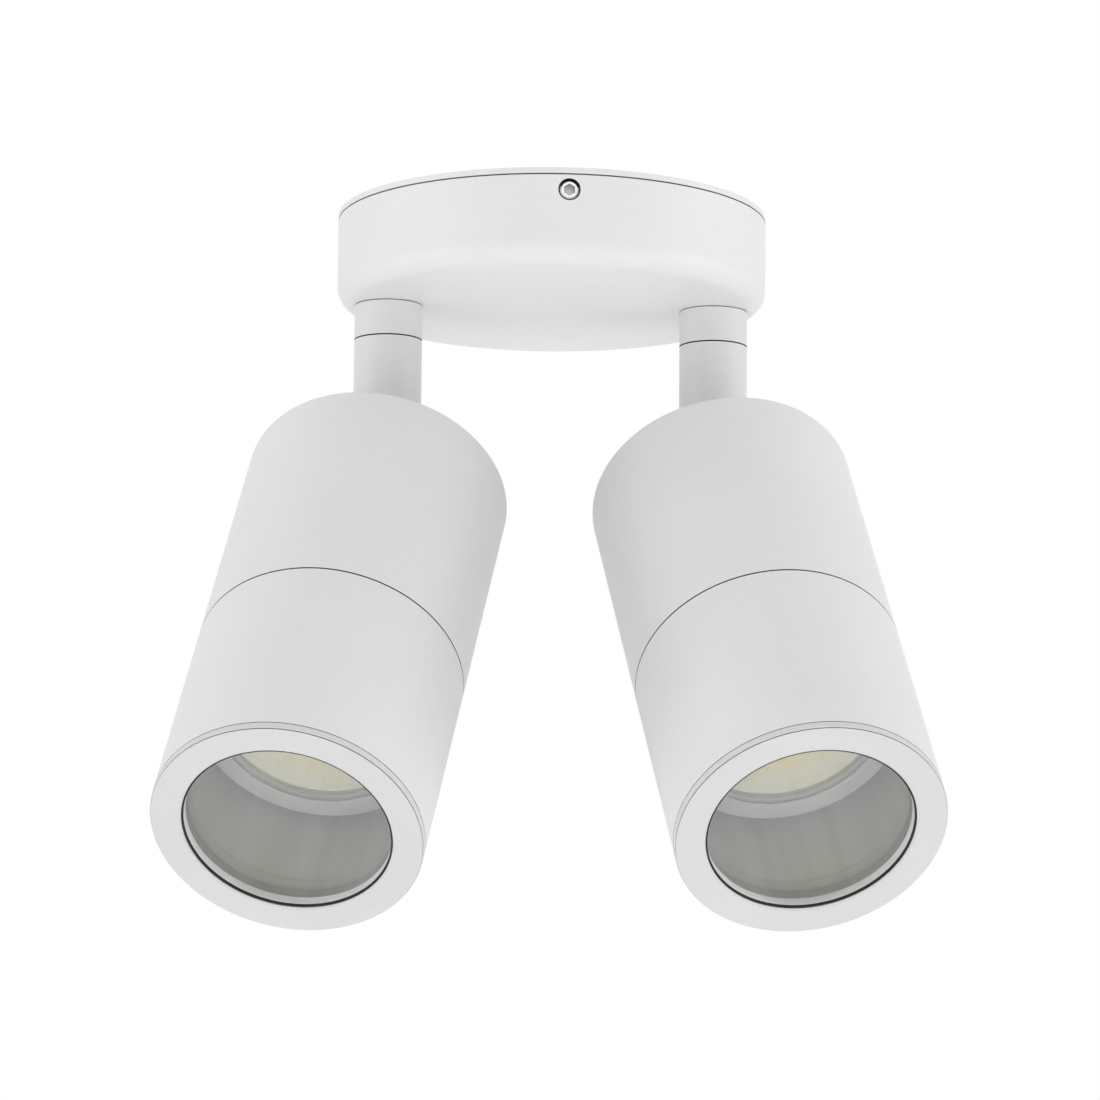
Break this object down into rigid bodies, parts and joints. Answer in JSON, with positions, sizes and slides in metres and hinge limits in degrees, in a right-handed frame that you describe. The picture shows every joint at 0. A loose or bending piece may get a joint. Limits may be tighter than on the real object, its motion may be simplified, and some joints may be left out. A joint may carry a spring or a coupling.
{
  "type": "spotlight",
  "caption": "Surface spotlight: round canopy, short swivelling stems and cylindrical heads that tilt on knuckles, each with a glazed bezel and a two-pin reflector lamp.",
  "frame": {"origin": "centre of the mounting plate's back face, midway between its fixing holes", "axes": "+Z out of the back face into the ceiling or wall, X through both stems, -Y towards the front, where both heads point at rest"},
  "size_m": [0.1736, 0.1521, 0.1747],
  "materials": {
    "white_paint": "warm white satin powder coat on die-cast and turned aluminium, with a very fine sand texture",
    "bare_aluminium": "satin, light grey",
    "plated_steel": "bright zinc plate",
    "brass": "plain brass",
    "black_rubber": "matte black",
    "terminal_plastic": "natural nylon",
    "lead_sleeve": "white heat-proof sleeve",
    "clear_glass": "clear, polished",
    "lamp_bowl": "glossy pressed reflector",
    "lamp_lens": "cream, softly glossy",
    "holder_ceramic": "white glazed"
  },
  "bodies": {
    "base": {"mounting_plate": "white_paint", "cable_grommet": "black_rubber", "terminal_block": "terminal_plastic", "terminal_screws": "plated_steel", "earth_screw": "brass", "canopy": "white_paint", "canopy_seal": "black_rubber", "grub_screws": "plated_steel", "left_collar": "white_paint", "left_canopy_lead": "lead_sleeve", "right_collar": "white_paint", "right_canopy_lead": "lead_sleeve"},
    "left_arm": {"left_stem": "white_paint", "left_swivel_nipple": "plated_steel", "left_lock_nut": "plated_steel", "left_stop_washer": "plated_steel", "left_swivel_seal": "black_rubber", "left_stem_lead": "lead_sleeve", "left_knuckle_bolt": "plated_steel", "left_knuckle_nut": "plated_steel", "left_knuckle_washer": "plated_steel", "left_knuckle_seal": "black_rubber"},
    "left_head": {"left_rear_housing": "white_paint", "left_front_tube": "white_paint", "left_seam_seal": "black_rubber", "left_bezel": "white_paint", "left_glass_gasket": "black_rubber", "left_front_glass": "clear_glass", "left_glass_ring": "bare_aluminium", "left_lamp_ring": "bare_aluminium", "left_lamp_body": "lamp_bowl", "left_lamp_lens": "lamp_lens", "left_lampholder": "holder_ceramic", "left_lampholder_bracket": "plated_steel", "left_lampholder_screws": "plated_steel", "left_head_lead": "lead_sleeve"},
    "right_arm": {"right_stem": "white_paint", "right_swivel_nipple": "plated_steel", "right_lock_nut": "plated_steel", "right_stop_washer": "plated_steel", "right_swivel_seal": "black_rubber", "right_stem_lead": "lead_sleeve", "right_knuckle_bolt": "plated_steel", "right_knuckle_nut": "plated_steel", "right_knuckle_washer": "plated_steel", "right_knuckle_seal": "black_rubber"},
    "right_head": {"right_rear_housing": "white_paint", "right_front_tube": "white_paint", "right_seam_seal": "black_rubber", "right_bezel": "white_paint", "right_glass_gasket": "black_rubber", "right_front_glass": "clear_glass", "right_glass_ring": "bare_aluminium", "right_lamp_ring": "bare_aluminium", "right_lamp_body": "lamp_bowl", "right_lamp_lens": "lamp_lens", "right_lampholder": "holder_ceramic", "right_lampholder_bracket": "plated_steel", "right_lampholder_screws": "plated_steel", "right_head_lead": "lead_sleeve"}
  },
  "joints": [
    {"name": "left_swivel", "type": "hinge", "parent": "base", "child": "left_arm", "pos_m": [-0.038, 0, -0.0299], "axis": [0, 0, 1], "range_deg": [-163.5, 16.5]},
    {"name": "left_tilt", "type": "hinge", "parent": "left_arm", "child": "left_head", "pos_m": [-0.038, 0, -0.0587], "axis": [-0.9588, 0.284, 0], "range_deg": [-129, 51]},
    {"name": "right_swivel", "type": "hinge", "parent": "base", "child": "right_arm", "pos_m": [0.038, 0, -0.0299], "axis": [0, 0, 1], "range_deg": [-11.25, 168.75]},
    {"name": "right_tilt", "type": "hinge", "parent": "right_arm", "child": "right_head", "pos_m": [0.038, 0, -0.0587], "axis": [-0.9808, -0.1951, 0], "range_deg": [-130, 50]}
  ]
}
